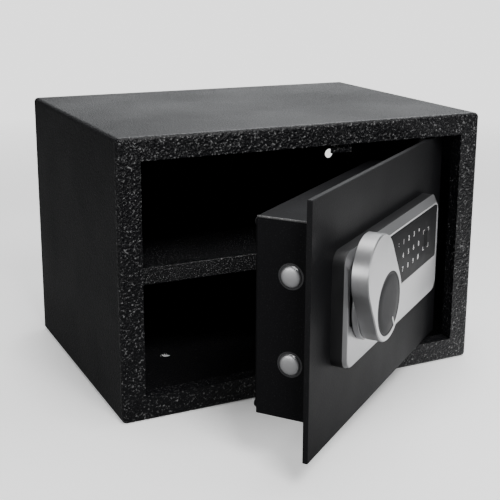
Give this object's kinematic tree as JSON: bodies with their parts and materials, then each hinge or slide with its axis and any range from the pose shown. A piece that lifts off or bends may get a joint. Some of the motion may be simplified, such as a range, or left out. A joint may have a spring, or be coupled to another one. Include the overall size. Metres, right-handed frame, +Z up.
{
  "type": "electronic safe",
  "caption": "Small black steel safe with a swung-open door, lever knob, touch keypad panel, round locking bolts, inner shelf and wall anchor holes.",
  "frame": {"origin": "centre of the cabinet's underside", "axes": "+Z up, -Y out of the doorway, +X towards the hinge side"},
  "size_m": [0.35, 0.4213, 0.24],
  "materials": {
    "hammered_black": "coarse hammered powder coat, semi-gloss",
    "shell_black": "fine-grain powder coat, satin",
    "door_black": "fine powder coat, matte to satin",
    "moulded_black": "lightly textured moulding",
    "silver_face": "satin silver lacquer on a moulding",
    "satin_metal": "satin plated, fine turned grain round the edge",
    "cap_grey": "fine matte moulding",
    "window_black": "smooth touch film",
    "mark_white": "printed white ink",
    "bright_bolt": "polished plated steel",
    "zinc_steel": "zinc plated",
    "brass": "machined",
    "bush_plastic": "plain bearing nylon",
    "board_green": "solder resist over glass fibre",
    "coil_copper": "enamelled copper winding",
    "cell_sleeve": "plain shrink sleeve over a steel can",
    "reset_red": "moulded, glossy",
    "lead_insulation": "extruded insulation",
    "ribbon_grey": "flat cable insulation"
  },
  "bodies": {
    "cabinet": {"cabinet_shell": "shell_black", "front_frame": "hammered_black", "back_panel": "shell_black", "shelf": "shell_black", "shelf_bracket_left": "shell_black", "shelf_bracket_right": "shell_black", "hinge_lug_upper": "shell_black", "hinge_lug_lower": "shell_black", "hinge_pin_upper": "zinc_steel", "hinge_pin_lower": "zinc_steel", "hinge_washer": "bush_plastic"},
    "door": {"door_plate": "door_black", "hinge_knuckle_upper": "door_black", "hinge_knuckle_lower": "door_black", "door_box": "door_black", "back_cover": "door_black", "cover_screws": "zinc_steel", "bolt_bush_upper": "bush_plastic", "bolt_bush_lower": "bush_plastic", "carriage_stud": "zinc_steel", "stud_ring": "zinc_steel", "panel_base": "moulded_black", "panel_cover": "silver_face", "panel_screws": "zinc_steel", "keypad_window": "window_black", "key_marks": "mark_white", "status_window": "mark_white", "keypad_board": "board_green", "spindle_bush": "bush_plastic", "solenoid_frame": "zinc_steel", "solenoid_coil": "coil_copper", "plunger_spring": "zinc_steel", "battery_tray": "moulded_black", "battery_cells": "cell_sleeve", "battery_contacts": "brass", "main_board": "board_green", "board_parts": "moulded_black", "buzzer": "moulded_black", "reset_switch": "moulded_black", "reset_bracket": "zinc_steel", "ribbon_cable": "ribbon_grey", "battery_lead": "lead_insulation", "solenoid_lead": "lead_insulation"},
    "knob": {"knob_body": "satin_metal", "knob_collar": "satin_metal", "knob_cap": "cap_grey", "knob_pointer": "mark_white", "spindle": "zinc_steel", "crank_lever": "zinc_steel", "crank_pin": "zinc_steel", "spindle_clip": "zinc_steel"},
    "override_key_core": {"key_cylinder": "brass"},
    "bolts": {"locking_bolt_upper": "bright_bolt", "locking_bolt_lower": "bright_bolt", "bolt_screws": "zinc_steel", "bolt_carriage": "zinc_steel"},
    "plunger": {"solenoid_plunger": "zinc_steel"},
    "reset_push": {"reset_button": "reset_red"},
    "lid": {"battery_lid": "moulded_black"}
  },
  "joints": [
    {"name": "door_hinge", "type": "hinge", "parent": "cabinet", "child": "door", "pos_m": [0.118, -0.116, 0.121], "axis": [0, 0, 1], "range_deg": [-37.5, 72.5]},
    {"name": "knob_turn", "type": "hinge", "parent": "door", "child": "knob", "pos_m": [-0.0249, -0.25338, 0.128], "axis": [-0.6088, 0.7934, 0], "range_deg": [0, 60]},
    {"name": "override_turn", "type": "hinge", "parent": "knob", "child": "override_key_core", "pos_m": [-0.0249, -0.25338, 0.128], "axis": [-0.6088, 0.7934, 0], "range_deg": [0, 90]},
    {"name": "bolt_slide", "type": "slide", "parent": "door", "child": "bolts", "axis": [-0.7934, -0.6088, 0], "range_m": [0, 0.028]},
    {"name": "plunger_slide", "type": "slide", "parent": "door", "child": "plunger", "axis": [0, 0, 1], "range_m": [0, 0.006], "deforming": ["plunger_spring"]},
    {"name": "reset_press", "type": "slide", "parent": "door", "child": "reset_push", "axis": [0.6088, -0.7934, 0], "range_m": [0, 0.002], "stiffness_N_per_m": 300},
    {"name": "battery_lid_hinge", "type": "hinge", "parent": "door", "child": "lid", "pos_m": [0.00935, -0.14114, 0.127], "axis": [0, 0, 1], "range_deg": [0, 100]}
  ],
  "couplings": [
    {"joint": "bolt_slide", "follows": "knob_turn", "m_per_rad": 0.02673}
  ]
}
